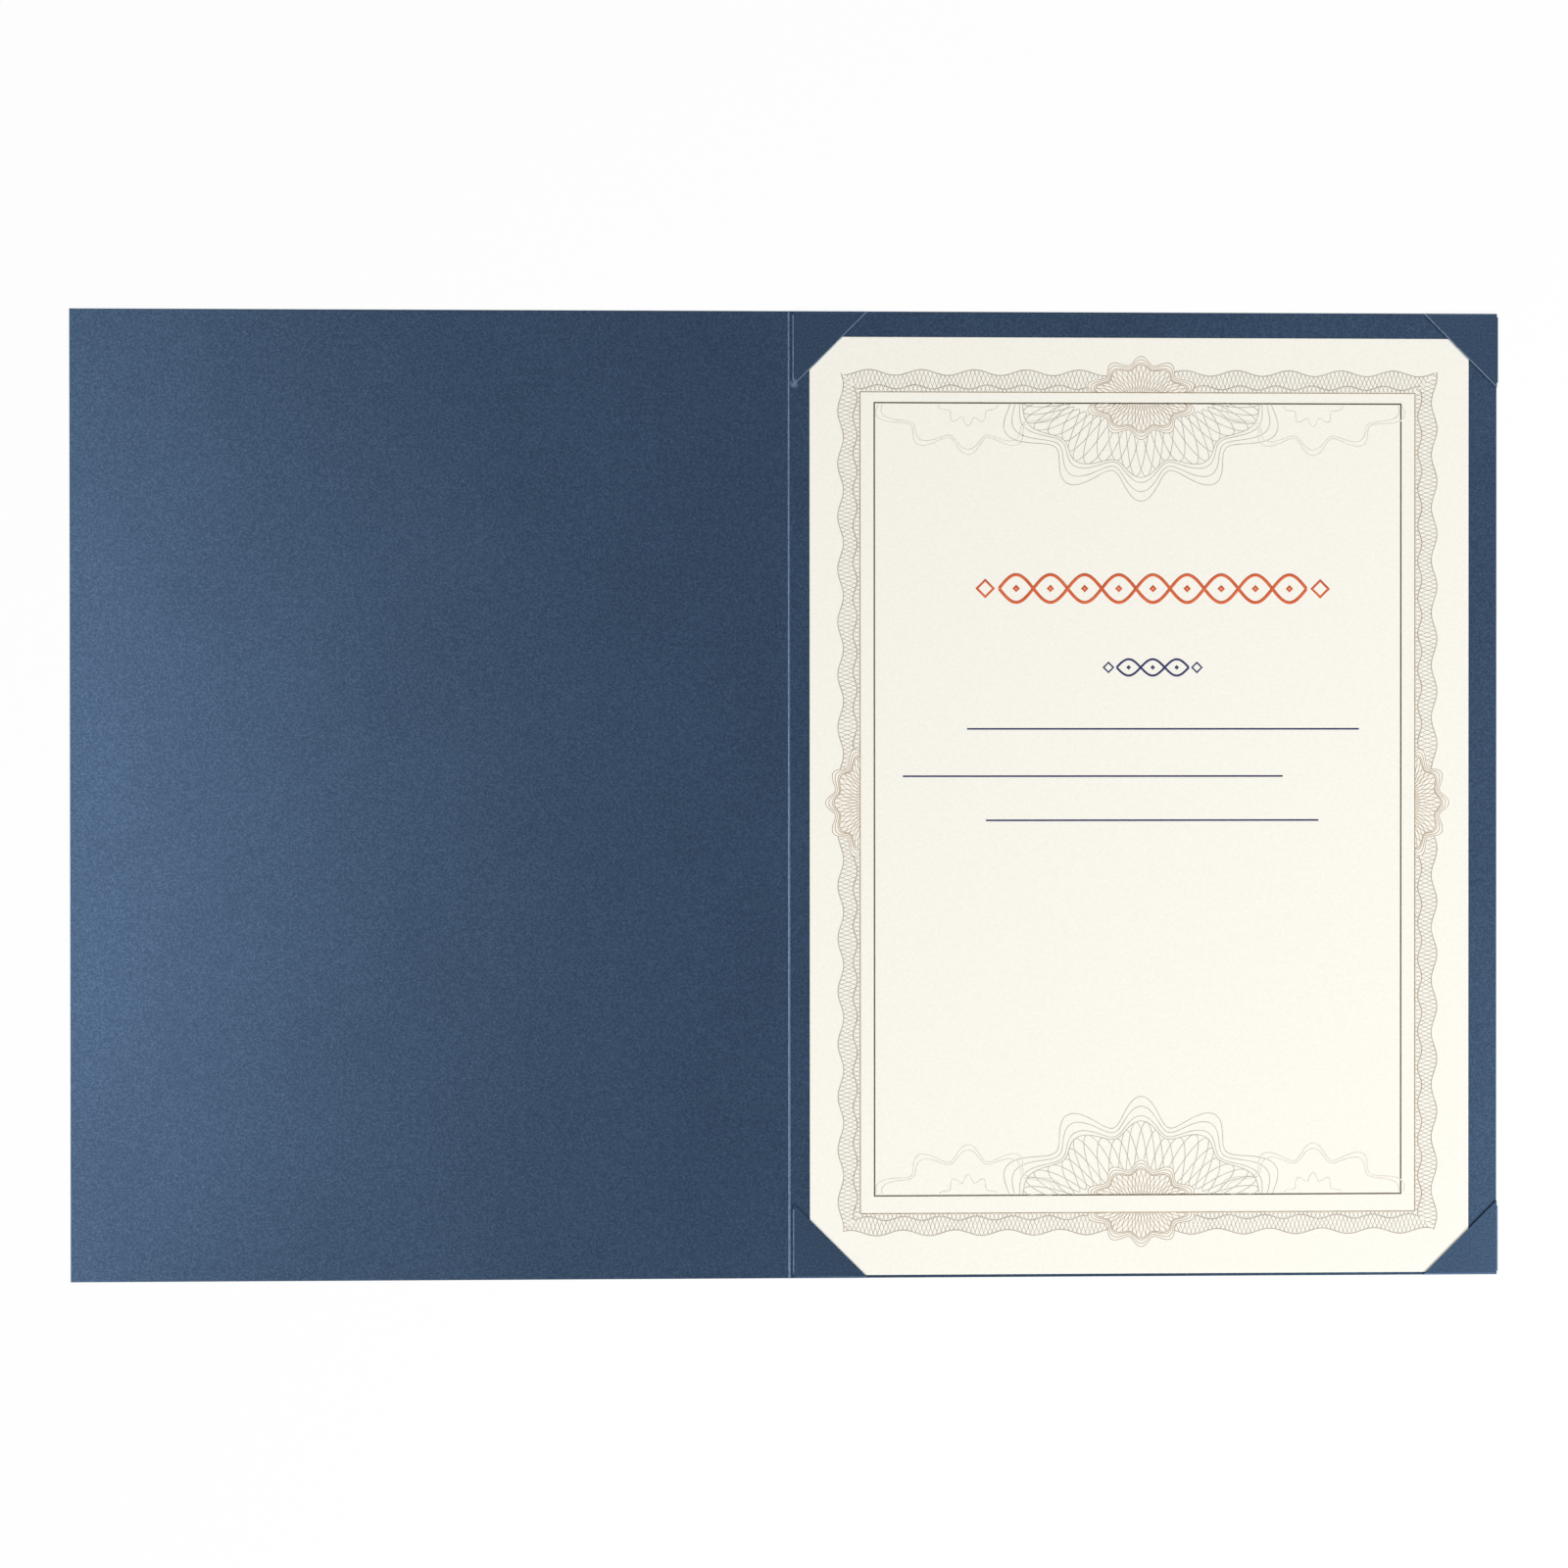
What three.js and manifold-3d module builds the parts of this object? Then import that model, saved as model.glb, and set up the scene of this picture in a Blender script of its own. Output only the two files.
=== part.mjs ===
// A diploma cover that lies open: one sheet of pearl card, creased at the spine,
// with four folded corner pockets on its back cover that hold a certificate.
// Millimetres. X runs across the open cover, Y up the page, Z up from the table.
// The origin is on the table, under the middle of the crease.
import * as THREE from 'three';
import { mergeVertices } from 'three/addons/utils/BufferGeometryUtils.js';
import Module from 'manifold-3d';

const wasm = await Module();
wasm.setup();

// The certificate, an A4 sheet of thin card
const sheetWidth = 210;
const sheetHeight = 297;
const sheetThickness = 0.2;

// The cover's card and its crease
const card = 0.4;
const creaseGap = 0.3;          // the two covers part here when they swing
const beadWidth = 0.9;          // the ridge that the scoring rule raises inside
const beadHeight = 0.2;

// The corner pockets
const pocketLeg = 24;           // along the page's edge and down its side
const pocketFromCrease = 1.1;
const tabWidth = 5;             // glued under the pocket's side fold
const tabInset = 2;             // how far the tab stays back from the slanting edge
const cornerRelief = 1.2;       // the side fold starts this far from the page's edge

// How loosely the certificate lies between its pockets
const spinePlay = 0.5;
const outerPlay = 4.4;
const bottomPlay = 0.5;
const topPlay = 7.7;

// The frame stamped on the outside of the front cover
const frameInset = 20;
const frameCorner = 24;         // leg of each cut corner
const frameLine = 0.5;
const frameSteps = [0, 1.6, 4]; // each line's distance from the outermost one
const stampDepth = 0.1;
const stampRise = 0.05;         // what shows of the stamp on the inside

const foldSegments = 10;
const beadSteps = 6;
const overlap = 1;              // how far joined shapes run into each other

// Worked out: a fold keeps one thickness of card clear between its two layers
const foldRadius = 1.5 * card;
const foldInside = 0.5 * card;
const flapUnderside = 2 * card;
const flapTop = 3 * card;
const pocketStart = pocketFromCrease;
const sheetLeft = pocketStart + tabWidth + spinePlay;
const coverWidth = sheetLeft + sheetWidth + outerPlay + tabWidth;
const coverHeight = card + bottomPlay + sheetHeight + topPlay + card;
const sheetBottom = -coverHeight / 2 + card + bottomPlay;

const pearlCard = { color: 0x3a4e69, roughness: 0.5, metalness: 0.15 };
const creamPaper = { color: 0xfdfaf1, roughness: 0.75, metalness: 0 };

// The four places of a pocket, each with the way its own axes point
const corners = [
  { x: pocketStart, y: coverHeight / 2, across: 1, down: -1 },
  { x: coverWidth, y: coverHeight / 2, across: -1, down: -1 },
  { x: pocketStart, y: -coverHeight / 2, across: 1, down: 1 },
  { x: coverWidth, y: -coverHeight / 2, across: -1, down: 1 },
];

// Axes for a section that is drawn upright and pushed along X, or along Y
const alongX = new THREE.Matrix4().makeBasis(
  new THREE.Vector3(0, 1, 0), new THREE.Vector3(0, 0, 1), new THREE.Vector3(1, 0, 0));
const alongY = new THREE.Matrix4().makeBasis(
  new THREE.Vector3(1, 0, 0), new THREE.Vector3(0, 0, 1), new THREE.Vector3(0, 1, 0));

// A prism as a solid. A turn that mirrors it also turns its triangles back out.
function prism(shape, start, end, axes = new THREE.Matrix4()) {
  const drawn = new THREE.ExtrudeGeometry(shape, {
    depth: end - start, bevelEnabled: false, curveSegments: foldSegments,
  });
  drawn.translate(0, 0, start);
  drawn.deleteAttribute('normal');
  drawn.deleteAttribute('uv');
  drawn.applyMatrix4(axes);
  const merged = mergeVertices(drawn, 1e-5);
  const triangles = Uint32Array.from(merged.index.array);
  if (axes.determinant() < 0) {
    for (let i = 0; i < triangles.length; i += 3) {
      [triangles[i], triangles[i + 1]] = [triangles[i + 1], triangles[i]];
    }
  }
  const points = Float32Array.from(merged.attributes.position.array);
  return new wasm.Manifold(new wasm.Mesh({
    numProp: 3, vertProperties: points, triVerts: triangles,
  }));
}

function outline(points) {
  return new THREE.Shape(points.map(([x, y]) => new THREE.Vector2(x, y)));
}

// The crease's half bead: the card keeps its thickness and rises over the score.
// side is 1 for the back cover and -1 for the front cover.
function creaseBead(side) {
  const half = beadWidth / 2;
  const parting = Math.asin(creaseGap / beadWidth);
  const top = [];
  const under = [];
  for (let i = 0; i <= beadSteps; i++) {
    const angle = parting + (Math.PI / 2 - parting) * i / beadSteps;
    const across = half * Math.sin(angle);
    const rise = beadHeight * Math.cos(angle);
    top.push([side * across, card + rise]);
    under.push([side * across, rise]);
  }
  const section = [
    ...under, [side * (half + overlap), 0], [side * (half + overlap), card], ...top.reverse(),
  ];
  return prism(outline(section), -coverHeight / 2, coverHeight / 2, alongY);
}

// A frame with cut corners: one stamped line, step in from the outermost one
function stampedLine(step, bottom, top) {
  const ring = (inset) => {
    const left = -coverWidth + frameInset + inset;
    const right = -frameInset - inset;
    const high = coverHeight / 2 - frameInset - inset;
    const cut = frameCorner - inset * (2 - Math.SQRT2);
    return [
      [left + cut, -high], [right - cut, -high], [right, -high + cut], [right, high - cut],
      [right - cut, high], [left + cut, high], [left, high - cut], [left, -high + cut],
    ];
  };
  const line = outline(ring(step));
  line.holes.push(outline(ring(step + frameLine)));
  return prism(line, bottom, top);
}

function frontCover() {
  const inner = -beadWidth / 2;
  const outer = -coverWidth;
  const high = coverHeight / 2;
  let cover = prism(outline([
    [outer, -high], [inner, -high], [inner, high], [outer, high],
  ]), 0, card);
  cover = cover.add(creaseBead(-1));
  for (const step of frameSteps) {
    cover = cover.add(stampedLine(step, card / 2, card + stampRise));
    cover = cover.subtract(stampedLine(step, -overlap, stampDepth));
  }
  return cover;
}

// The back cover's flat sheet. Along each pocket its edge stands back by the
// fold's radius, where the fold takes over.
function backPanel() {
  const near = beadWidth / 2;
  const first = pocketStart + card;
  const second = pocketStart + pocketLeg;
  const third = coverWidth - pocketLeg;
  const far = coverWidth - card;
  const high = coverHeight / 2;
  const fold = high - foldRadius;
  const upper = [
    [far, fold], [third, fold], [third, high], [second, high],
    [second, fold], [first, fold], [first, high], [near, high],
  ];
  const lower = upper.map(([x, y]) => [x, -y]).reverse();
  return prism(outline([...lower, ...upper]), 0, card);
}

// What lies past a pocket's slanting edge, between two heights
function pastSlant(leg, bottom, top) {
  return prism(outline([
    [leg + overlap, -overlap], [leg + overlap, leg + overlap], [-overlap, leg + overlap],
  ]), bottom, top);
}

// The fold along the page's edge: half a ring from the sheet up to the flap
function edgeFold() {
  const section = new THREE.Shape();
  section.moveTo(foldRadius + overlap, 0);
  section.lineTo(foldRadius, 0);
  section.absarc(foldRadius, foldRadius, foldRadius, -Math.PI / 2, -3 * Math.PI / 2, true);
  section.lineTo(pocketLeg, flapTop);
  section.lineTo(pocketLeg, flapUnderside);
  section.lineTo(foldRadius, flapUnderside);
  section.absarc(foldRadius, foldRadius, foldInside, Math.PI / 2, 3 * Math.PI / 2, false);
  section.lineTo(foldRadius + overlap, card);
  return prism(section, card, pocketLeg, alongX);
}

// The pocket's side: the flap turns under itself and its tab is glued to the sheet
function sideFold() {
  const section = new THREE.Shape();
  section.moveTo(tabWidth, flapTop);
  section.lineTo(card, flapTop);
  section.absarc(card, flapUnderside, card, Math.PI / 2, 3 * Math.PI / 2, false);
  section.lineTo(tabWidth, card);
  const fold = prism(section, cornerRelief, pocketLeg - tabInset, alongY);
  return fold.subtract(pastSlant(pocketLeg - tabInset, -overlap, flapUnderside));
}

function pocket() {
  return edgeFold().add(sideFold()).subtract(pastSlant(pocketLeg, foldRadius, flapTop + overlap));
}

// One pocket, set into its corner of the cover
function placed(solid, corner) {
  const place = new THREE.Matrix4().makeBasis(
    new THREE.Vector3(corner.across, 0, 0),
    new THREE.Vector3(0, corner.down, 0),
    new THREE.Vector3(0, 0, 1));
  place.setPosition(corner.x, corner.y, 0);
  return solid.transform(place.elements);
}

function backCover() {
  let cover = backPanel().add(creaseBead(1));
  const folded = pocket();
  for (const corner of corners) cover = cover.add(placed(folded, corner));
  return cover;
}

function certificate() {
  return prism(outline([
    [sheetLeft, sheetBottom], [sheetLeft + sheetWidth, sheetBottom],
    [sheetLeft + sheetWidth, sheetBottom + sheetHeight], [sheetLeft, sheetBottom + sheetHeight],
  ]), card, card + sheetThickness);
}

function named(name, solid, look) {
  const mesh = solid.getMesh();
  const geometry = new THREE.BufferGeometry();
  geometry.setAttribute('position', new THREE.BufferAttribute(mesh.vertProperties, mesh.numProp));
  geometry.setIndex(new THREE.BufferAttribute(mesh.triVerts, 1));
  geometry.computeVertexNormals();
  const piece = new THREE.Mesh(geometry, new THREE.MeshStandardMaterial(look));
  piece.name = name;
  return piece;
}

const diplomaCover = new THREE.Group();
diplomaCover.add(named('front_cover', frontCover(), pearlCard));
diplomaCover.add(named('back_cover', backCover(), pearlCard));
diplomaCover.add(named('certificate', certificate(), creamPaper));

export default diplomaCover;
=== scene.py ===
# %% [markdown]
# A diploma cover, open on a table. The cover is one sheet of blue pearl card with a
# crease at the spine and four folded corner pockets, which hold a printed certificate.
# The solids come from a imported frame, in metres: X across, Y up the page, Z up.
# This lesson dresses them: one welded sheet of card with a bead at the crease, paper
# and ink as separate finishes, and an engraved border drawn by formula.

# %% Load the frame
import math

import bmesh
import bpy
import numpy as np
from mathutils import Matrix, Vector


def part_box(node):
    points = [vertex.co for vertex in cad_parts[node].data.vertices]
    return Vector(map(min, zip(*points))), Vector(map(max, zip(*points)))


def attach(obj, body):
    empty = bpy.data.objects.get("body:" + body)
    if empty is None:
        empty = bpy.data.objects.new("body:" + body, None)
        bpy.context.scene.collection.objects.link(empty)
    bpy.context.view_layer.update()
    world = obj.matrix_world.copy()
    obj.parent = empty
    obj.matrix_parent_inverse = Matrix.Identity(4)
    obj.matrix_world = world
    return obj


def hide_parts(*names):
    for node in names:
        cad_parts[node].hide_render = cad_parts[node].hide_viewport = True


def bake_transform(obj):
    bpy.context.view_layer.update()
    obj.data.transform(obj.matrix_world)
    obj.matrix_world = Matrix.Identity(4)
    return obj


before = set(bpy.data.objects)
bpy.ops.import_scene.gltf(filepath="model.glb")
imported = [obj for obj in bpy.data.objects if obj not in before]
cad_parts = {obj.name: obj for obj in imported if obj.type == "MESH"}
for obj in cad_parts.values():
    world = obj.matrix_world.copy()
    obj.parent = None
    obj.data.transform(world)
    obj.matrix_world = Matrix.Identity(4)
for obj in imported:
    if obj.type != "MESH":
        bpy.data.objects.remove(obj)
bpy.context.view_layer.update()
MM = 0.001

# %% [markdown]
# Every size below comes from the solids or is a real size in millimetres. The card is as
# thick as the back cover between its underside and the certificate that lies on it.

# %% Read the sizes from the solids
back_low, back_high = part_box("back_cover")
sheet_low, sheet_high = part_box("certificate")
CARD = sheet_low.z
HALF_HEIGHT = back_high.y
PARTING = back_low.x
PAPER_TOP = sheet_high.z
SHEET_CENTRE = ((sheet_low.x + sheet_high.x) / 2, (sheet_low.y + sheet_high.y) / 2)
BEAD_HALF = 0.45 * MM
BEAD_RISE = 0.2 * MM
print("card:", round(CARD / MM, 2), "mm; half the page:", round(HALF_HEIGHT / MM, 1), "mm")

# %% [markdown]
# Colours are written as sRGB hex, as a designer would pick them, and one function turns
# them to the linear values that the shaders work in.

# %% A colour, a node and a material
def colour(hex_code):
    """An sRGB hex code as linear red, green and blue, with full alpha."""
    parts = [int(hex_code[i:i + 2], 16) / 255 for i in (0, 2, 4)]
    linear = [p / 12.92 if p <= 0.04045 else ((p + 0.055) / 1.055) ** 2.4 for p in parts]
    return (*linear, 1.0)


def add_node(tree, kind, settings=None, inputs=None, stops=()):
    """One node: its properties, then a value or a socket for each input, then ramp stops."""
    node = tree.nodes.new(kind)
    for name, value in (settings or {}).items():
        setattr(node, name, value)
    for name, value in (inputs or {}).items():
        if isinstance(value, bpy.types.NodeSocket):
            tree.links.new(value, node.inputs[name])
        else:
            node.inputs[name].default_value = value
    for _ in range(len(stops) - 2):
        node.color_ramp.elements.new(0.5)
    for i, (position, tone) in enumerate(stops):
        node.color_ramp.elements[i].position = position
        node.color_ramp.elements[i].color = tone
    return node


def new_material(name):
    """A material with its output node only, and its tree."""
    material = bpy.data.materials.new(name)
    material.use_nodes = True
    tree = material.node_tree
    tree.nodes.remove(tree.nodes["Principled BSDF"])
    return material, tree


def finish_material(material, shader):
    """Link a shader to the material's surface, and say how large the tree has become."""
    tree = material.node_tree
    tree.links.new(shader.outputs[0], tree.nodes["Material Output"].inputs["Surface"])
    print(material.name + ":", len(tree.nodes), "nodes")


print("mid grey in linear values:", [round(value, 3) for value in colour("808080")])

# %% [markdown]
# Pearl card is wood pulp, dyed through, with a thin coat of mica flakes rolled on. The
# flakes lie almost flat and mirror light in the card's own blue, so the finish is more
# than half a metal: dark where the lamps don't reach the eye, and paler towards the side
# that faces them. The flakes and the pulp below them show as a fine mottle, a little over
# half a millimetre wide.

# %% Pearl card
PULP_MOTTLE = 0.6 * MM
ROLLED_CLOUD = 45 * MM
card_material, tree = new_material("blue_pearl_card")
place = add_node(tree, "ShaderNodeTexCoord").outputs["Object"]
mottle = add_node(tree, "ShaderNodeTexNoise", inputs={
    "Vector": place, "Scale": 1 / PULP_MOTTLE, "Detail": 4.0, "Roughness": 0.65})
cloud = add_node(tree, "ShaderNodeTexNoise", inputs={
    "Vector": place, "Scale": 1 / ROLLED_CLOUD, "Detail": 2.0})
flakes = add_node(tree, "ShaderNodeValToRGB", inputs={"Fac": mottle.outputs["Fac"]}, stops=[
    (0.34, colour("374E6A")), (0.50, colour("435B78")), (0.66, colour("546D8B"))])
rolled = add_node(tree, "ShaderNodeValToRGB", inputs={"Fac": cloud.outputs["Fac"]}, stops=[
    (0.3, colour("F6F6F6")), (0.7, colour("FFFFFF"))])
card_tone = add_node(tree, "ShaderNodeMix", {"data_type": "RGBA", "blend_type": "MULTIPLY"}, {
    "Factor": 1.0, "A": flakes.outputs["Color"], "B": rolled.outputs["Color"]}).outputs["Result"]
print("mottle:", round(PULP_MOTTLE / MM, 1), "mm, cloud:", round(ROLLED_CLOUD / MM), "mm")

# %% [markdown]
# Where card is scored and folded its coat cracks, and the paler pulp shows: along the
# crease, along the pocket folds beside it, and at the frayed tip of the upper pocket by
# the crease. The cut edges of the upper pockets get the same pale line, partly their cut
# pulp and partly a painted highlight where those edges catch the light. A mark is a
# strength that is largest on a line and fades to nothing at its reach. The pockets' marks
# keep to the height of the flaps, so that the front cover stays clean when it closes over
# them.

# %% Worn folds and a painted highlight on the upper cut edges
CREASE_REACH, CREASE_WEAR = 0.26 * MM, 1.1
FOLD_X = 1.1 * MM
FOLD_REACH, FOLD_WEAR = 0.5 * MM, 1.5
# The cut edges' mark is partly wear and partly a painted highlight.
CUT_HIGHLIGHT_REACH, CUT_WEAR_AND_HIGHLIGHT = 0.7 * MM, 1.8
POCKET_LEG = 24 * MM
POCKET_EDGE = 1.1 * MM
FRAYED_TIP = (1.7 * MM, 130.0 * MM, 1.2 * MM)
FRAYED_REACH, FRAYED_WEAR = 1.7 * MM, 2.2
FLAP_MIDDLE, FLAP_SPREAD, FLAP_TOP = 2.5 * CARD, 0.75 * CARD, 3.25 * CARD


def line_mark(tree, place, across, offset, reach, strength):
    """The strength where place . across is the offset, fading to 0 at the reach."""
    along = add_node(tree, "ShaderNodeVectorMath", {"operation": "DOT_PRODUCT"},
                     {0: place, 1: across}).outputs["Value"]
    apart = add_node(tree, "ShaderNodeMath", {"operation": "SUBTRACT"}, {0: along, 1: offset})
    distance = add_node(tree, "ShaderNodeMath", {"operation": "ABSOLUTE"}, {0: apart.outputs[0]})
    return add_node(tree, "ShaderNodeMapRange", {"interpolation_type": "SMOOTHSTEP"}, {
        "Value": distance.outputs[0], "From Min": 0.0, "From Max": reach,
        "To Min": strength, "To Max": 0.0}).outputs["Result"]


height = add_node(tree, "ShaderNodeSeparateXYZ", inputs={"Vector": place}).outputs["Z"]
at_flap = add_node(tree, "ShaderNodeMath", {"operation": "COMPARE"},
                   {0: height, 1: FLAP_MIDDLE, 2: FLAP_SPREAD}).outputs[0]
below_top = add_node(tree, "ShaderNodeMath", {"operation": "LESS_THAN"},
                     {0: height, 1: FLAP_TOP}).outputs[0]
left_cut = HALF_HEIGHT - POCKET_LEG - POCKET_EDGE
right_cut = HALF_HEIGHT - POCKET_LEG + back_high.x
from_tip = add_node(tree, "ShaderNodeVectorMath", {"operation": "DISTANCE"},
                    {0: place, 1: FRAYED_TIP}).outputs["Value"]
frayed = add_node(tree, "ShaderNodeMapRange", inputs={
    "Value": from_tip, "From Min": 0.0, "From Max": FRAYED_REACH,
    "To Min": FRAYED_WEAR, "To Max": 0.0}).outputs["Result"]
wear_and_highlight = line_mark(tree, place, (1, 0, 0), 0.0, CREASE_REACH, CREASE_WEAR)
fold = line_mark(tree, place, (1, 0, 0), FOLD_X, FOLD_REACH, FOLD_WEAR)
# The upper pockets' cut edges: partly cut pulp, partly a painted highlight where they catch the
# light.
left = line_mark(tree, place, (-1, 1, 0), left_cut, CUT_HIGHLIGHT_REACH, CUT_WEAR_AND_HIGHLIGHT)
right = line_mark(tree, place, (1, 1, 0), right_cut, CUT_HIGHLIGHT_REACH, CUT_WEAR_AND_HIGHLIGHT)
for mark, level in ((frayed, below_top), (fold, at_flap), (left, at_flap), (right, at_flap)):
    kept = add_node(tree, "ShaderNodeMath", {"operation": "MULTIPLY"}, {0: mark, 1: level})
    wear_and_highlight = add_node(tree, "ShaderNodeMath", {"operation": "MAXIMUM"},
                    {0: wear_and_highlight, 1: kept.outputs[0]}).outputs[0]
print("cut edges cross x = 0 at", round(left_cut / MM, 1), "and", round(right_cut / MM, 1), "mm")

# %% [markdown]
# A crack is never even, so a noise with patches about as wide as the cracks are long
# breaks the marks up. They then show the pulp's paler blue, which on the upper pockets'
# cut edges is also a painted highlight, and the mottle that tints the card also gives its
# surface a very low grain.

# %% Cracks and the finished card
CRACK_SIZE = 1.6 * MM
GRAIN_DEPTH = 0.01 * MM
cracks = add_node(tree, "ShaderNodeTexNoise", inputs={
    "Vector": place, "Scale": 1 / CRACK_SIZE, "Detail": 5.0, "Roughness": 0.7})
cracked = add_node(tree, "ShaderNodeMapRange", inputs={
    "Value": cracks.outputs["Fac"], "From Min": 0.35, "From Max": 0.6,
    "To Min": 0.35, "To Max": 1.0}).outputs["Result"]
wear_and_highlight = add_node(tree, "ShaderNodeMath", {"operation": "MULTIPLY"}, {0: wear_and_highlight, 1: cracked}).outputs[0]
# Paler blue on the marks: worn folds, and a painted highlight on the upper pockets' cut edges.
wear_and_highlight_tone = add_node(tree, "ShaderNodeMix", {"data_type": "RGBA"}, {
    "Factor": wear_and_highlight, "A": card_tone, "B": colour("93A7BF")}).outputs["Result"]
flake_bump = add_node(tree, "ShaderNodeBump", inputs={
    "Strength": 0.1, "Distance": GRAIN_DEPTH, "Height": mottle.outputs["Fac"]})
card_shader = add_node(tree, "ShaderNodeBsdfPrincipled", inputs={
    "Base Color": wear_and_highlight_tone, "Metallic": 0.70, "Roughness": 0.32,
    "Normal": flake_bump.outputs["Normal"]})
finish_material(card_material, card_shader)

# %% [markdown]
# The certificate is uncoated cream card. Its surface scatters light almost evenly, with
# a faint mottle where the fibres lie thicker, so it is rough and has no sparkle.

# %% Certificate paper
PAPER_FIBRE = 0.8 * MM
FIBRE_DEPTH = 0.02 * MM
paper_material, tree = new_material("cream_certificate_paper")
place = add_node(tree, "ShaderNodeTexCoord").outputs["Object"]
fibre = add_node(tree, "ShaderNodeTexNoise", inputs={
    "Vector": place, "Scale": 1 / PAPER_FIBRE, "Detail": 4.0}).outputs["Fac"]
paper_tone = add_node(tree, "ShaderNodeValToRGB", inputs={"Fac": fibre}, stops=[
    (0.3, colour("F4F1E6")), (0.7, colour("FAF7EE"))]).outputs["Color"]
paper_bump = add_node(tree, "ShaderNodeBump", inputs={
    "Strength": 0.08, "Distance": FIBRE_DEPTH, "Height": fibre})
paper_shader = add_node(tree, "ShaderNodeBsdfPrincipled", inputs={
    "Base Color": paper_tone, "Roughness": 0.78, "IOR": 1.45,
    "Normal": paper_bump.outputs["Normal"]})
finish_material(paper_material, paper_shader)

# %% [markdown]
# Printing ink soaks into the paper, so each ink is nearly as rough as the paper and
# varies a little in strength along a line, as an offset plate lays it down.

# %% Printing inks
INK_PATCH = 4 * MM


def ink(name, dark, light):
    """An ink whose strength drifts between a dark and a light tone."""
    material, tree = new_material(name)
    place = add_node(tree, "ShaderNodeTexCoord").outputs["Object"]
    strength = add_node(tree, "ShaderNodeTexNoise", inputs={
        "Vector": place, "Scale": 1 / INK_PATCH, "Detail": 3.0}).outputs["Fac"]
    tone = add_node(tree, "ShaderNodeValToRGB", inputs={"Fac": strength}, stops=[
        (0.35, colour(dark)), (0.65, colour(light))]).outputs["Color"]
    shader = add_node(tree, "ShaderNodeBsdfPrincipled", inputs={
        "Base Color": tone, "Roughness": 0.7, "IOR": 1.45})
    finish_material(material, shader)
    return material


border_ink = ink("brown_grey_border_ink", "A69684", "BAAD9C")
small_ink = ink("tan_rosette_ink", "AE967A", "C1AC92")
rosette_ink = ink("grey_rosette_ink", "BDB7AA", "CDC7BB")
ghost_ink = ink("faint_ghost_ink", "EEE8DC", "F4EFE5")
tan_ink = ink("tan_rule_ink", "AE9C7E", "BDAF96")
olive_ink = ink("olive_rule_ink", "4B4535", "5C5545")
orange_ink = ink("orange_twist_ink", "D6592A", "E06C3C")
navy_ink = ink("navy_line_ink", "22285A", "2E3468")

# %% [markdown]
# The crease is a narrow bead of card, as high as the solids' own half beads. It is built
# as strips across the parting, rounded over and under.

# %% The crease's bead
CREASE_STEPS = 10


def crease_station(share):
    """Across place, underside and top of the bead, from share -1 to 1 of the parting."""
    across = share * PARTING
    rise = BEAD_RISE * math.sqrt(1 - (across / BEAD_HALF) ** 2)
    return across, rise, CARD + rise


def add_crease(mesh_data):
    """Four strips of faces, under, over and at both ends, from one cover to the other."""
    rows = []
    for step in range(CREASE_STEPS + 1):
        across, under, top = crease_station(2 * step / CREASE_STEPS - 1)
        rows.append([mesh_data.verts.new((across, y, z)) for y, z in (
            (-HALF_HEIGHT, under), (HALF_HEIGHT, under), (HALF_HEIGHT, top), (-HALF_HEIGHT, top))])
    for left, right in zip(rows, rows[1:]):
        for i in range(4):
            j = (i + 1) % 4
            mesh_data.faces.new((left[i], left[j], right[j], right[i]))


print("crease:", CREASE_STEPS, "steps over", round(2 * PARTING / MM, 2), "mm")

# %% [markdown]
# The two cover solids are copied, welded into one sheet and joined by the crease. The
# frame that is stamped in the front of the cover only just shows inside, so its ridges
# are lowered. Only rounded folds are shaded smooth; flat card and cut edges stay crisp.

# %% Helpers for the sheet
WELD_REACH = 0.002 * MM
PARTING_SLACK = 0.01 * MM
STAMPED_LEFT_OF = -1 * MM
STAMPED_RISE = 0.1 * MM
IMPRESSION_SHARE = 0.3
UPRIGHT, LEVEL = 0.02, 0.999


def weld(mesh_data):
    bmesh.ops.remove_doubles(mesh_data, verts=mesh_data.verts, dist=WELD_REACH)


def lower_impression(mesh_data):
    """The stamped ridges inside the front cover, at a share of their rise."""
    for vert in mesh_data.verts:
        if vert.co.x < STAMPED_LEFT_OF and CARD < vert.co.z < CARD + STAMPED_RISE:
            vert.co.z = CARD + IMPRESSION_SHARE * (vert.co.z - CARD)


def open_parting(mesh_data):
    """Take out the walls that the two covers turn to each other at the parting."""
    walls = [f for f in mesh_data.faces
             if all(abs(abs(v.co.x) - PARTING) < PARTING_SLACK for v in f.verts)]
    bmesh.ops.delete(mesh_data, geom=walls, context="FACES")
    print("walls taken out:", len(walls), "faces")


def smooth_folds(mesh_data):
    """Smooth shading where a face is neither level nor upright, except on the stamp."""
    for face in mesh_data.faces:
        stamped = face.calc_center_median().x < STAMPED_LEFT_OF
        rounded = UPRIGHT < abs(face.normal.z) < LEVEL
        face.smooth = rounded and not stamped


def show(name, mesh, material):
    """A mesh as an object of its own, in one material."""
    piece = bpy.data.objects.new(name, mesh)
    bpy.context.scene.collection.objects.link(piece)
    mesh.materials.clear()
    mesh.materials.append(material)
    return piece


print("stamped ridges keep", IMPRESSION_SHARE, "of their rise")

# %% [markdown]
# With these helpers the sheet is a short list of steps, and it takes the place of both
# solids.

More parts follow.
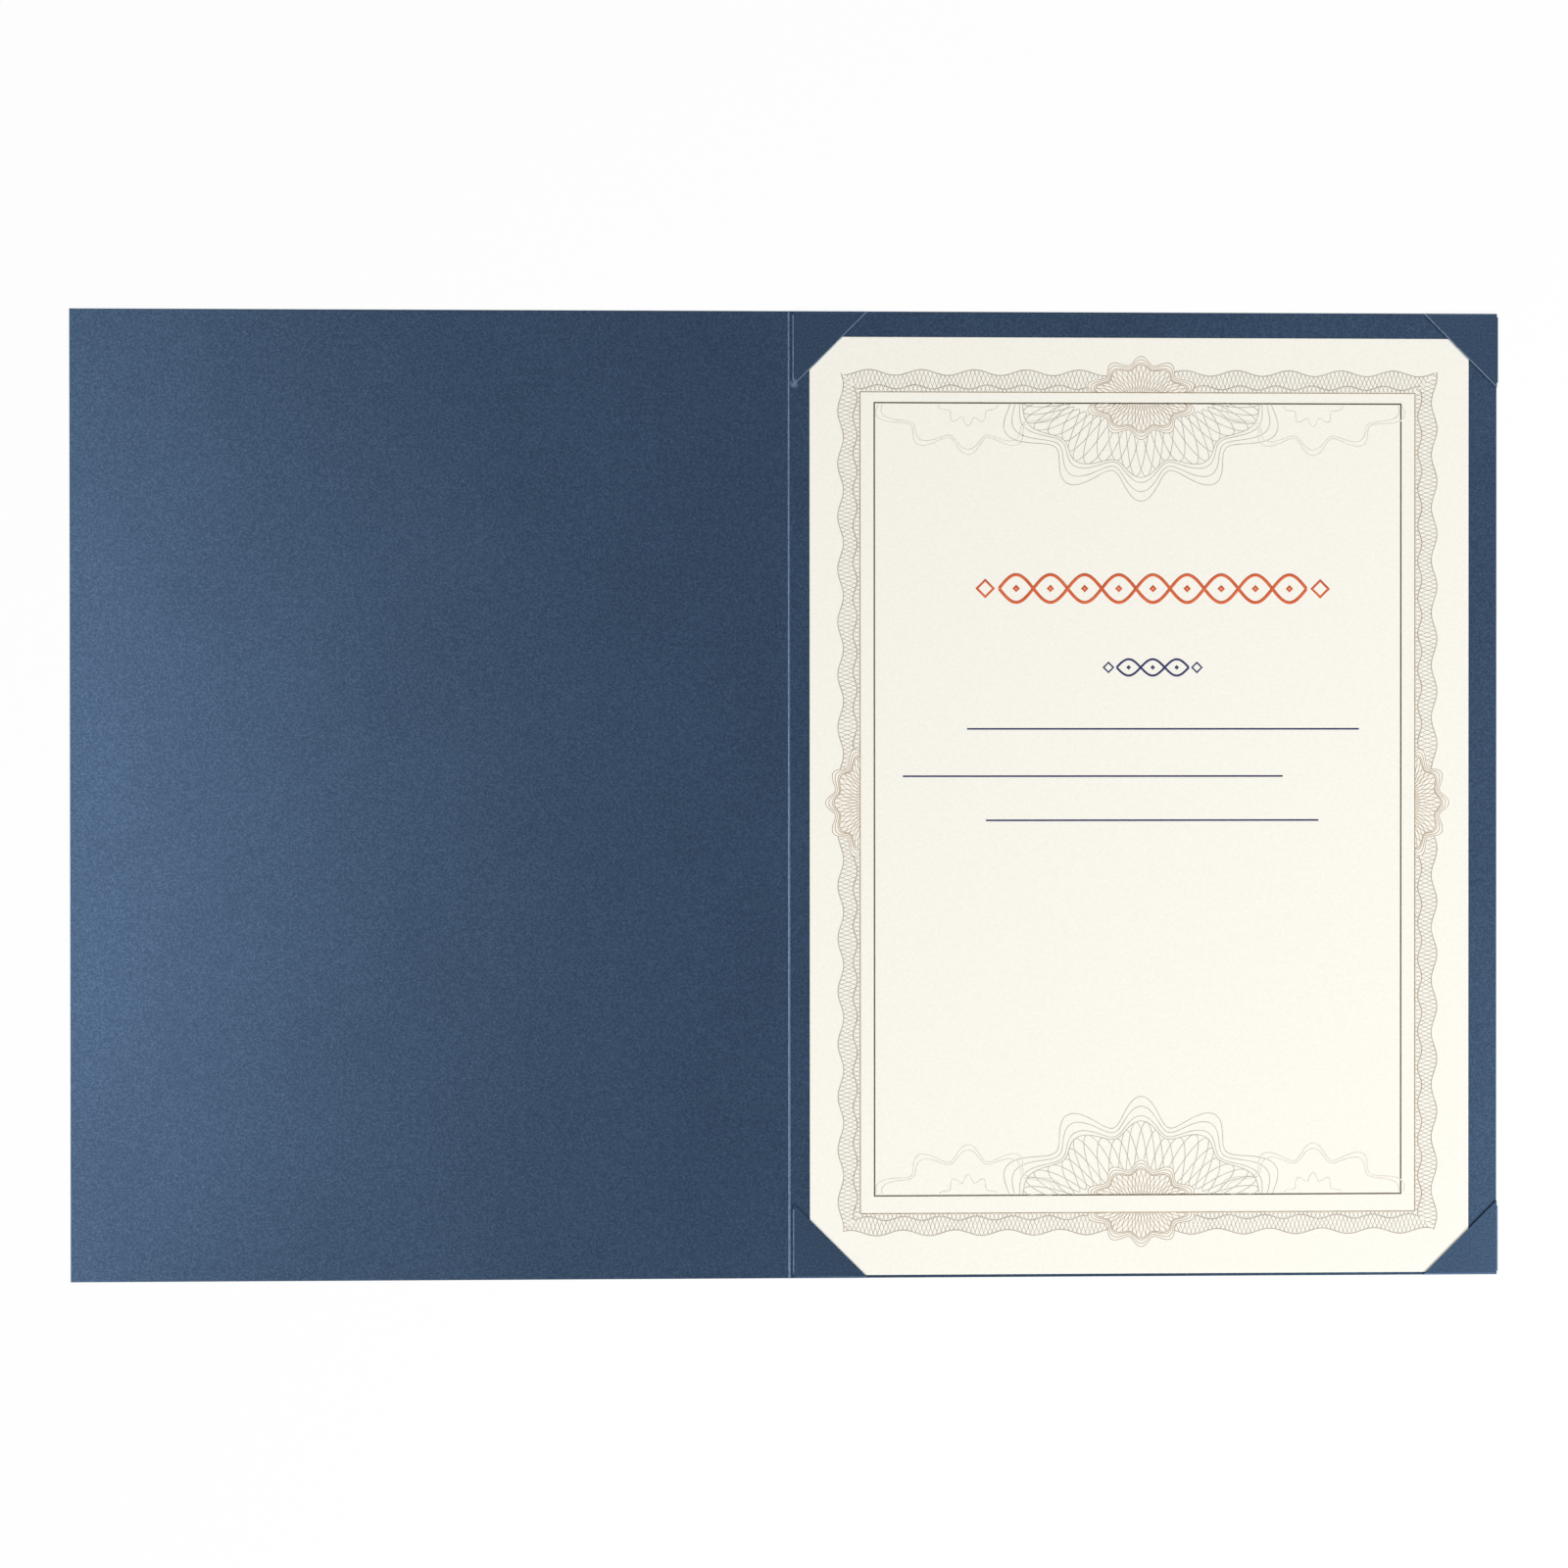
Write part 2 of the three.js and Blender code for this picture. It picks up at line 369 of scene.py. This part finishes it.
# %% One sheet of card
def cover_sheet():
    mesh_data = bmesh.new()
    for name in ("front_cover", "back_cover"):
        mesh_data.from_mesh(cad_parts[name].data)
    weld(mesh_data)
    lower_impression(mesh_data)
    open_parting(mesh_data)
    add_crease(mesh_data)
    weld(mesh_data)
    bmesh.ops.recalc_face_normals(mesh_data, faces=mesh_data.faces)
    smooth_folds(mesh_data)
    mesh = bpy.data.meshes.new("cover_sheet")
    mesh_data.to_mesh(mesh)
    open_edges = sum(not e.is_manifold for e in mesh_data.edges)
    mesh_data.free()
    print("cover sheet:", len(mesh.polygons), "faces,", open_edges, "open edges")
    return mesh


cover = show("cover_sheet", cover_sheet(), card_material)
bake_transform(cover)
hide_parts("front_cover", "back_cover")

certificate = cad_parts["certificate"]
certificate.data.materials.clear()
certificate.data.materials.append(paper_material)

# %% [markdown]
# Everything printed is a line of ink. Geometry Nodes turn drawn curves into a film of
# ink of a given width and thickness, so one tree serves the rules, the engraved border
# and the rosettes, and a line's width is one number. Each line lies a hair higher than
# the one before it, so that no two faces share a place where lines cross.

# %% The ink line tree
INK_FILM = 0.015 * MM
INK_LEVELS = 23
INK_STEP = 0.0008 * MM


def ink_line_tree():
    """Curves in, a film of ink along them out, of a given width, thickness and ink."""
    tree = bpy.data.node_groups.new("ink_line", "GeometryNodeTree")
    for name, kind in (("Geometry", "Geometry"), ("Line width", "Float"), ("Film", "Float"),
                       ("Ink", "Material")):
        tree.interface.new_socket(name, in_out="INPUT", socket_type="NodeSocket" + kind)
    tree.interface.new_socket("Geometry", in_out="OUTPUT", socket_type="NodeSocketGeometry")
    given = add_node(tree, "NodeGroupInput")
    level = add_node(tree, "GeometryNodeSetCurveNormal", {"mode": "Z_UP"},
                     {"Curve": given.outputs["Geometry"]})
    section = add_node(tree, "GeometryNodeCurvePrimitiveQuadrilateral", inputs={
        "Width": given.outputs["Line width"], "Height": given.outputs["Film"]})
    film = add_node(tree, "GeometryNodeCurveToMesh", inputs={
        "Curve": level.outputs[0], "Profile Curve": section.outputs[0], "Fill Caps": True})
    real = add_node(tree, "GeometryNodeRealizeInstances", inputs={"Geometry": film.outputs[0]})
    inked = add_node(tree, "GeometryNodeSetMaterial", inputs={
        "Geometry": real.outputs[0], "Material": given.outputs["Ink"]})
    add_node(tree, "NodeGroupOutput", inputs={"Geometry": inked.outputs[0]})
    return tree


INK_LINE = ink_line_tree()
print("ink line tree:", len(INK_LINE.nodes), "nodes")

# %% [markdown]
# A set of lines is drawn as one curve with many splines. The tree runs on it as a
# modifier, its result is kept as a plain mesh, and the curve is thrown away.

# %% Print a set of lines
def set_input(modifier, name, value):
    """Set a named input of the tree by its socket's identifier."""
    for item in INK_LINE.interface.items_tree:
        if item.in_out == "INPUT" and item.name == name:
            modifier[item.identifier] = value


def drawn_curve(name, lines):
    """Lines of points in millimetres about the sheet's centre, as splines on the paper."""
    curve = bpy.data.curves.new(name + "_path", "CURVE")
    curve.dimensions = "3D"
    for number, (points, closed) in enumerate(lines):
        spline = curve.splines.new("POLY")
        spline.points.add(len(points) - 1)
        level = PAPER_TOP + INK_FILM / 2 + (number % INK_LEVELS) * INK_STEP
        placed = [(SHEET_CENTRE[0] + x * MM, SHEET_CENTRE[1] + y * MM, level, 1.0)
                  for x, y in points]
        spline.points.foreach_set("co", np.array(placed).ravel())
        spline.use_cyclic_u = closed
    return curve


def printed(name, lines, width, ink_material):
    """A piece of ink: lines of a width in millimetres, each with whether it is closed."""
    drawn = bpy.data.objects.new(name + "_path", drawn_curve(name, lines))
    bpy.context.scene.collection.objects.link(drawn)
    modifier = drawn.modifiers.new("ink_line", "NODES")
    modifier.node_group = INK_LINE
    set_input(modifier, "Line width", width * MM)
    set_input(modifier, "Film", INK_FILM)
    set_input(modifier, "Ink", ink_material)
    bpy.context.view_layer.update()
    made = drawn.evaluated_get(bpy.context.evaluated_depsgraph_get())
    mesh = bpy.data.meshes.new_from_object(made)
    bpy.data.objects.remove(drawn)
    piece = show(name, mesh, ink_material)
    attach(piece, "back")
    print(name + ":", len(lines), "lines,", len(mesh.polygons), "faces")
    return piece


# %% [markdown]
# The border's two plain rules are rectangles. The print sits a little off the sheet's
# centre, as prints do, and the inner rule stands further from the foot than the head.

# %% The two rules
PRINT_X, PRINT_Y = -0.6, 1.05
TAN_HALF = (88.4, 130.1)
OLIVE_HALF = (83.9, 125.6)
OLIVE_UP = 1.1
TAN_WIDTH, OLIVE_WIDTH = 0.45, 0.65


def rectangle(half, centre):
    """A closed line at a half width and half height from its centre."""
    (w, h), (x, y) = half, centre
    return [(x - w, y - h), (x + w, y - h), (x + w, y + h), (x - w, y + h)], True


printed("tan_rule", [rectangle(TAN_HALF, (PRINT_X, PRINT_Y))], TAN_WIDTH, tan_ink)
printed("olive_rule", [rectangle(OLIVE_HALF, (PRINT_X, PRINT_Y + OLIVE_UP))], OLIVE_WIDTH,
        olive_ink)

# %% [markdown]
# An engraver's rose engine draws a rosette as one wavy ring after another. Here the inner
# ring is an ellipse whose radius rises and falls ten times a turn, a little drawn out at
# the sides. The rings round it keep a clear distance from it between the lobes and swell
# away at each lobe, so they are that ring moved outwards, square to the ellipse.

# %% Rings of a rosette
LOBES = 10
LARGE = dict(half_width=31.9, reach=25.2, depth=0.178, fade=0.85, stretch=0.22)
SMALL = dict(half_width=13.3, reach=10.6, depth=0.148, fade=-0.2, stretch=0.16)
RING_SHARES = (0.0, 0.21, 0.6, 1.0)
LARGE_CLEAR, LARGE_SWELL = 3.4, 4.1
SMALL_CLEAR, SMALL_SWELL = 1.6, 1.0
SPAN = 1.9
RING_STEPS = 481


def ring_radius(angle, size):
    """Radius as a share of the ellipse: 1 at each lobe's top, less between the lobes."""
    fade = 1 - size["fade"] * np.sin(angle) ** 6
    return 1 - size["depth"] * fade * (1 - np.cos(LOBES * angle)) / 2


def laid_out(angle, radius, size):
    """Points in millimetres about the rosette's centre: along the rule, and out from it."""
    across = size["half_width"] * np.sin(angle) * (1 + size["stretch"] * np.sin(angle) ** 2)
    return np.stack([across * radius, size["reach"] * np.cos(angle) * radius], 1)


def ring(size, clear, swell):
    """The inner ring, moved out by clear between the lobes and by swell more at each."""
    angle = np.linspace(-SPAN, SPAN, RING_STEPS)
    line = laid_out(angle, ring_radius(angle, size), size)
    wide = size["half_width"] * (1 + size["stretch"])
    square = np.stack([np.sin(angle) / wide, np.cos(angle) / size["reach"]], 1)
    square /= np.hypot(*square.T)[:, None]
    away = clear + swell * (1 + np.cos(LOBES * angle)) / 2
    return line + square * away[:, None]


def ring_family(size, clear, swell):
    """The inner ring and those round it, each at its share of the outermost one's place."""
    return [ring(size, clear * share, swell * share) for share in RING_SHARES]


print("a rosette:", len(RING_SHARES), "rings with", LOBES, "lobes a turn")

# %% [markdown]
# Inside the inner ring runs a net: strands that swing from the ring in towards the centre
# and back, each started a little later than the last, so that they cross in rows of slim
# lens shapes. A rosette is cut straight along its rule, and the large one is left open
# where the small one lies on it, so points there are dropped and the rest drawn as runs.

# %% Net of a rosette
NET_STEPS = 801
SMALL_NET = dict(waves=10, strands=5, core=(0.4, 0.15))
LARGE_NET = dict(waves=13, strands=4, core=(0.62, 0.28))


def net(size, waves, strands, core):
    """Strands between the inner ring and a core, whose size is two shares of the ellipse."""
    angle = np.linspace(-SPAN, SPAN, NET_STEPS)
    outer = laid_out(angle, ring_radius(angle, size), size)
    inner = laid_out(angle, 1.0, size) * core
    lines = []
    for k in range(strands):
        late = math.pi * (2 * k + 1) / strands
        inwards = (1 - np.cos(waves * angle + late)) / 2
        lines.append(outer + (inner - outer) * inwards[:, None])
    return lines


def kept_runs(line, keep):
    """The stretches of a line whose points are kept, as lines of their own."""
    edges = np.flatnonzero(np.diff(np.concatenate([[0], keep.astype(int), [0]])))
    return [line[start:end] for start, end in zip(edges[::2], edges[1::2]) if end - start > 1]


def inside(points, outline):
    """Whether points lie within a ring, seen from the rosette's centre."""
    bearing = np.arctan2(outline[:, 0], outline[:, 1])
    edge = np.interp(np.arctan2(points[:, 0], points[:, 1]), bearing, np.hypot(*outline.T))
    return np.hypot(*points.T) < edge


small_outline = ring(SMALL, SMALL_CLEAR, SMALL_SWELL)
small_rings = ring_family(SMALL, SMALL_CLEAR, SMALL_SWELL)
small_net = net(SMALL, **SMALL_NET)
large_lines = ring_family(LARGE, LARGE_CLEAR, LARGE_SWELL)
for strand in net(LARGE, **LARGE_NET):
    large_lines += kept_runs(strand, ~inside(strand, small_outline))
print("small net:", len(small_net), "strands; large rosette:", len(large_lines), "lines")

# %% [markdown]
# A rosette's centre lies midway between the two rules: the small one shows on both sides
# of them, the large one only inside. A seat says where the centre is, which way is out,
# how far the rule is from it and how tall the rosette stands, since the lower ones are
# a little taller than the upper ones.

# %% Seats of the rosettes
ROSETTE_X = PRINT_X + 0.9
AS_DRAWN, LOWER_TALL = 1.0, 1.04
RING_WIDTH, NET_WIDTH, LARGE_WIDTH = 0.2, 0.16, 0.24
tan_top, tan_foot = PRINT_Y + TAN_HALF[1], PRINT_Y - TAN_HALF[1]
olive_top = PRINT_Y + OLIVE_UP + OLIVE_HALF[1]
olive_foot = PRINT_Y + OLIVE_UP - OLIVE_HALF[1]
top_gap, foot_gap = (tan_top - olive_top) / 2, (olive_foot - tan_foot) / 2
side_gap = (TAN_HALF[0] - OLIVE_HALF[0]) / 2
top_centre = (ROSETTE_X, tan_top - top_gap)
foot_centre = (ROSETTE_X, tan_foot + foot_gap)
INWARD = [(top_centre, (0, -1), top_gap, AS_DRAWN), (foot_centre, (0, 1), foot_gap, LOWER_TALL)]
OUTWARD = [(top_centre, (0, 1), top_gap, AS_DRAWN), (foot_centre, (0, -1), foot_gap, LOWER_TALL)]
for side in (-1, 1):
    side_centre = (PRINT_X + side * (TAN_HALF[0] - side_gap), PRINT_Y)
    OUTWARD.append((side_centre, (side, 0), side_gap, AS_DRAWN))


def turned(line, centre, out):
    """A line drawn along and out, moved to its centre and turned to face out."""
    (cx, cy), (ox, oy) = centre, out
    return np.stack([cx + line[:, 0] * oy + line[:, 1] * ox,
                     cy - line[:, 0] * ox + line[:, 1] * oy], 1)


def seated(lines, centre, out, gap, tall):
    """Lines cut off at the rule and moved to their seat, as open lines to print."""
    placed = []
    for line in lines:
        for run in kept_runs(line * [1, tall], line[:, 1] * tall > gap):
            placed.append((turned(run, centre, out), False))
    return placed


def print_at(name, seats, lines, width, ink_material):
    """The same lines at every seat, as one piece of ink."""
    placed = [line for seat in seats for line in seated(lines, *seat)]
    printed(name, placed, width, ink_material)


print("rosettes inside the rules:", len(INWARD), "and outside them:", len(OUTWARD))
print_at("small_rosette_rings", INWARD + OUTWARD, small_rings, RING_WIDTH, small_ink)
print_at("small_rosette_nets", INWARD + OUTWARD, small_net, NET_WIDTH, small_ink)
print_at("large_rosettes", INWARD, large_lines, LARGE_WIDTH, rosette_ink)

# %% [markdown]
# Beside each large rosette stand two fainter and smaller ones, as if printed with very
# thin ink. They are the same rings, drawn smaller, and they stop just short of the rule.

# %% Ghost rosettes
GHOST_APART = 55.0
GHOST_SCALE = (0.67, 0.555)
GHOST_CORE = (0.32, 0.5)
GHOST_CLEAR = 0.5
GHOST_WIDTH = 0.4
ghost_rings = [line * GHOST_SCALE for line in ring_family(LARGE, LARGE_CLEAR, LARGE_SWELL)]
ghost_core = ghost_rings[3] * GHOST_CORE
ghost_lines = []
for (x, y), out, gap, tall in INWARD:
    for side in (-1, 1):
        ghost_seat = ((x + side * GHOST_APART, y), out, gap + GHOST_CLEAR, tall)
        ghost_lines += seated([ghost_core, ghost_rings[2], ghost_rings[3]], *ghost_seat)
printed("ghost_rosettes", ghost_lines, GHOST_WIDTH, ghost_ink)

# %% [markdown]
# The band between the tan rule and the sheet's edge is a guilloche: four strands swing
# between an outer and an inner edge that are waves themselves, and a finer pair fills the
# strip below. Each side of the frame starts its waves at a place of its own, is drawn past
# its corner and cut on the diagonal, as a mitre, and stops where a rosette stands on it.

# %% The guilloche band
OUTER_WAVE = dict(level=6.2, swell=0.9, pitch=16.7)
INNER_WAVE = dict(level=1.6, swell=0.65, pitch=11.5)
STRAND_PITCH = 5.4
STRANDS = 4
FINE_PITCH = 2.7
FINE_STRANDS = 2
CORNER_RUN = 8
STEP = 0.2


def wave(along, level, swell, pitch, shift):
    """Height over the rule of an edge that swells and sinks along the side."""
    return level + swell * np.cos(2 * math.pi * (along - shift) / pitch)


def band_side(half_length, shift):
    """Edges and strands of one side: places along the side and out from the rule."""
    reach = half_length + CORNER_RUN
    along = np.arange(-reach, reach + STEP, STEP)
    outer = wave(along, shift=shift, **OUTER_WAVE)
    inner = wave(along, shift=shift, **INNER_WAVE)
    edges = [outer, inner]
    lines = []
    middle, half = (outer + inner) / 2, (outer - inner) / 2
    for k in range(STRANDS):
        lines.append(middle + half * np.sin(2 * math.pi * (along / STRAND_PITCH + k / STRANDS)))
    for k in range(FINE_STRANDS):
        late = k / FINE_STRANDS
        lines.append(inner / 2 * (1 + np.sin(2 * math.pi * (along / FINE_PITCH + late))))
    return [[np.stack([along, out], 1) for out in kind] for kind in (edges, lines)]


def cut_to_frame(lines, half_length, rosette_shift, gap, centre, out):
    """Lines cut at both mitres and at the rosette, and turned to their side."""
    placed = []
    for line in lines:
        in_mitre = np.abs(line[:, 0]) <= half_length + line[:, 1]
        on_rosette = inside(line + [-rosette_shift, gap], small_outline)
        for run in kept_runs(line, in_mitre & ~on_rosette):
            placed.append((turned(run, centre, out), False))
    return placed


def band(half_length, shift, rosette_shift, gap, centre, out):
    return [cut_to_frame(lines, half_length, rosette_shift, gap, centre, out)
            for lines in band_side(half_length, shift)]


print("strands a side:", STRANDS, "wide and", FINE_STRANDS, "fine")

# %% [markdown]
# A shift is how far a side's waves start from its middle, in millimetres. The four sides
# are gathered and printed as two pieces, because the edges are drawn a little bolder.

# %% Four sides
TOP_SHIFT, FOOT_SHIFT = -2.1, -0.2
LEFT_SHIFT, RIGHT_SHIFT = 7.15, -1.95
EDGE_WIDTH, STRAND_WIDTH = 0.22, 0.14
along_top = ROSETTE_X - PRINT_X
sides = [band(TAN_HALF[0], TOP_SHIFT, along_top, top_gap, (PRINT_X, tan_top), (0, 1)),
         band(TAN_HALF[0], FOOT_SHIFT, -along_top, foot_gap, (PRINT_X, tan_foot), (0, -1))]
for side, shift in ((-1, LEFT_SHIFT), (1, RIGHT_SHIFT)):
    rule_foot = (PRINT_X + side * TAN_HALF[0], PRINT_Y)
    sides.append(band(TAN_HALF[1], shift, 0.0, side_gap, rule_foot, (side, 0)))
edge_lines = [line for edges, strands in sides for line in edges]
strand_lines = [line for edges, strands in sides for line in strands]
printed("guilloche_edges", edge_lines, EDGE_WIDTH, border_ink)
printed("guilloche_strands", strand_lines, STRAND_WIDTH, border_ink)

# %% [markdown]
# The certificate carries plain ornament and lines to write on. A twist is two waves that
# cross, with a small lozenge in each eye and a larger one at either end, and the writing
# lines are ruled.

# %% Twists and writing lines
EYE_STEPS = 16
EYE_SHARE, END_SHARE = 0.16, 0.6
ORANGE_WIDTH, NAVY_WIDTH, WRITING_WIDTH = 1.0, 0.7, 0.55


def lozenge(x, y, half):
    """A closed line through four points at the same distance from the middle."""
    return [(x - half, y), (x, y - half), (x + half, y), (x, y + half)], True


def rule(x, y, length):
    """An open straight line about its middle."""
    return [(x - length / 2, y), (x + length / 2, y)], False


def twist(x, y, length, half_height, eyes):
    """Two crossing waves with a lozenge in each eye, and a lozenge at either end."""
    along = np.linspace(-length / 2, length / 2, EYE_STEPS * eyes + 1)
    swing = half_height * np.sin(math.pi * eyes * (along / length + 0.5))
    lines = [(np.stack([x + along, y + way * swing], 1), False) for way in (-1, 1)]
    for k in range(eyes):
        eye = x + length * ((k + 0.5) / eyes - 0.5)
        lines.append(lozenge(eye, y, EYE_SHARE * half_height))
    for side in (-1, 1):
        end = x + side * (length / 2 + half_height)
        lines.append(lozenge(end, y, END_SHARE * half_height))
    return lines


ORANGE_TWIST = dict(x=4.1, y=69.0, length=98, half_height=4.4, eyes=9)
NAVY_TWIST = dict(x=4.0, y=44.0, length=23, half_height=2.6, eyes=3)
WRITING = [(7.4, 24.5, 125), (-15.0, 9.5, 121), (3.9, -4.5, 106)]
printed("orange_twist", twist(**ORANGE_TWIST), ORANGE_WIDTH, orange_ink)
printed("navy_twist", twist(**NAVY_TWIST), NAVY_WIDTH, navy_ink)
printed("writing_lines", [rule(*line) for line in WRITING], WRITING_WIDTH, navy_ink)

# %% [markdown]
# The table is plain white. The camera sees it at its own white, and it still takes a
# share of the lamps' light so that the cover keeps a soft shadow on it.

# %% Floor
SEEN_WHITE = 0.88
TABLE_SIZE = 40.0
TABLE_DROP = 0.05 * MM
floor_material, tree = new_material("white_table")
rays = add_node(tree, "ShaderNodeLightPath").outputs
seen_ray = rays["Is Camera Ray"]
for other in ("Is Glossy Ray", "Is Transmission Ray"):
    seen_ray = add_node(tree, "ShaderNodeMath", {"operation": "ADD"},
                        {0: seen_ray, 1: rays[other]}).outputs[0]
seen_share = add_node(tree, "ShaderNodeMath", {"operation": "MULTIPLY"},
                      {0: seen_ray, 1: SEEN_WHITE}).outputs[0]
lit = add_node(tree, "ShaderNodeBsdfDiffuse", inputs={"Color": colour("FBFBFB")})
seen = add_node(tree, "ShaderNodeEmission", inputs={"Color": colour("FFFFFF"), "Strength": 1.0})
table_shader = add_node(tree, "ShaderNodeMixShader", inputs={
    0: seen_share, 1: lit.outputs[0], 2: seen.outputs[0]})
finish_material(floor_material, table_shader)
bpy.ops.mesh.primitive_plane_add(size=TABLE_SIZE, location=(0, 0, -TABLE_DROP))
floor = bpy.context.active_object
floor.name = "table"
floor.data.materials.append(floor_material)

# %% [markdown]
# Four soft round lamps stand 1.6 metres away, as wide as studio softboxes. The one on
# the left is high, so the pearl coat mirrors it towards the cover's left edge. The near
# one lights the cut edges of the upper pockets and lets the lower pockets' edges throw a
# thin shadow. The right one makes the card paler again at its lower right, and a weak one
# beyond the head of the page evens the paper's light. A dim white world fills the rest.

# %% Light
LAMP_DISTANCE = 1.6
WORLD_STRENGTH = 0.17


def lamp(name, turn, height, radius, watts):
    """A round lamp that faces the object from a turn and a height in degrees."""
    turn, height = math.radians(turn), math.radians(height)
    data = bpy.data.lights.new(name, "AREA")
    data.shape = "DISK"
    data.size = 2 * radius
    data.energy = watts
    light = bpy.data.objects.new(name, data)
    light.location = (LAMP_DISTANCE * math.cos(height) * math.cos(turn),
                      LAMP_DISTANCE * math.cos(height) * math.sin(turn),
                      LAMP_DISTANCE * math.sin(height))
    light.rotation_euler = (-light.location).to_track_quat("-Z", "Y").to_euler()
    bpy.context.scene.collection.objects.link(light)
    print(name + ":", watts, "W")


lamp("left_lamp", turn=185, height=57, radius=0.6, watts=8.4)
lamp("near_lamp", turn=290, height=40, radius=0.35, watts=8.4)
lamp("right_lamp", turn=342, height=44, radius=0.45, watts=11.0)
lamp("far_lamp", turn=60, height=46, radius=0.6, watts=3.6)
world = bpy.data.worlds.new("studio")
world.use_nodes = True
background = world.node_tree.nodes["Background"].inputs
background["Color"].default_value = colour("FFFFFF")
background["Strength"].default_value = WORLD_STRENGTH
bpy.context.scene.world = world
bpy.context.scene.view_settings.view_transform = "Standard"

# %% [markdown]
# The camera looks almost straight down. Its place and its small turns were worked out
# from the corners of the cover and the certificate in the photograph.

# %% Camera
CAMERA_PLACE = (-45.3 * MM, 10.1 * MM, 1170.9 * MM)
CAMERA_TURN = (-0.322, -2.141, -0.036)
LENS, SENSOR_WIDTH = 85.0, 36.0
NEAREST_SEEN = 0.05
camera_data = bpy.data.cameras.new("camera")
camera_data.lens = LENS
camera_data.sensor_width = SENSOR_WIDTH
camera_data.clip_start = NEAREST_SEEN
camera = bpy.data.objects.new("camera", camera_data)
camera.location = CAMERA_PLACE
camera.rotation_euler = [math.radians(turn) for turn in CAMERA_TURN]
bpy.context.scene.collection.objects.link(camera)
bpy.context.scene.camera = camera
print("camera:", LENS, "mm lens, height", round(CAMERA_PLACE[2], 3), "m")
